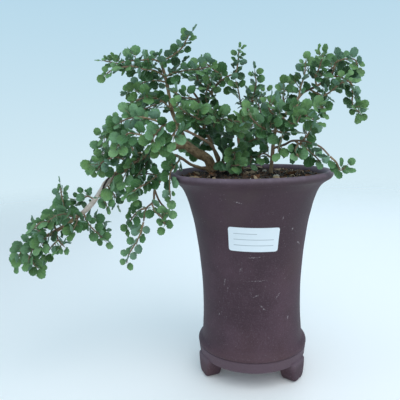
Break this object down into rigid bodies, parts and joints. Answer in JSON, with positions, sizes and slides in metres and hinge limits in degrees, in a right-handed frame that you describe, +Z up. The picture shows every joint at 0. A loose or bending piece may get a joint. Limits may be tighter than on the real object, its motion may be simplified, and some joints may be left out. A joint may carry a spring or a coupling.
{
  "type": "grewia bonsai",
  "caption": "Small-leaved grewia bonsai in a cascade style, growing in a tall flared unglazed pot on feet, with a plain paper label on the wall.",
  "frame": {"origin": "middle of the bounding box in X and Y, on the surface under the pot feet", "axes": "+X to the right of the front view, away from the hanging branch; +Y from the label side to the back; +Z up along the pot axis"},
  "size_m": [0.2982, 0.137, 0.2996],
  "materials": {
    "pot": "unglazed stoneware, matte with a faint sheen, dark purple-brown",
    "soil": "rough dark potting soil with bark chips and tan grit",
    "label": "smooth white self-adhesive paper, semi-matte",
    "mesh": "matte black plastic mesh",
    "bark": "rough grey-brown bark with a pale scarred stretch",
    "leaves": "matte mid green leaves, lighter and yellower on young shoots, on thin brown twigs"
  },
  "bodies": {
    "root": {"centre_stem": "bark", "drain_mesh": "mesh", "label": "label", "pot": "pot", "right_stem": "bark", "soil": "soil", "spray_back": "leaves", "spray_band_left": "leaves", "spray_band_mid": "leaves", "spray_band_right": "leaves", "spray_bud_twig": "leaves", "spray_crown_inner": "leaves", "spray_crown_left": "leaves", "spray_crown_mid": "leaves", "spray_crown_peak": "leaves", "spray_crown_right": "leaves", "spray_crown_top": "leaves", "spray_hang_left": "leaves", "spray_hang_long": "leaves", "spray_hang_right": "leaves", "spray_hang_top": "leaves", "spray_heart_back": "leaves", "spray_heart_left": "leaves", "spray_heart_right": "leaves", "spray_left_front": "leaves", "spray_left_high": "leaves", "spray_left_mid": "leaves", "spray_left_mid_back": "leaves", "spray_left_reach": "leaves", "spray_left_shade": "leaves", "spray_left_veil": "leaves", "spray_low_end": "leaves", "spray_low_front": "leaves", "spray_low_hang": "leaves", "spray_low_mid": "leaves", "spray_low_upright": "leaves", "spray_mast": "leaves", "spray_pale_front": "leaves", "spray_pale_left": "leaves", "spray_pale_right": "leaves", "spray_right_end": "leaves", "spray_right_front": "leaves", "spray_right_hang": "leaves", "spray_right_inner": "leaves", "spray_right_left": "leaves", "spray_right_low": "leaves", "spray_right_shoot": "leaves", "spray_right_top": "leaves", "spray_shelf_end": "leaves", "spray_shelf_front": "leaves", "spray_shelf_inner": "leaves", "spray_soil_front": "leaves", "spray_soil_right": "leaves", "spray_top_left": "leaves", "spray_top_left_low": "leaves", "spray_top_left_shade": "leaves", "spray_trunk_veil": "leaves", "spray_under_trunk": "leaves", "trunk": "bark", "twin_stem": "bark"}
  },
  "joints": []
}
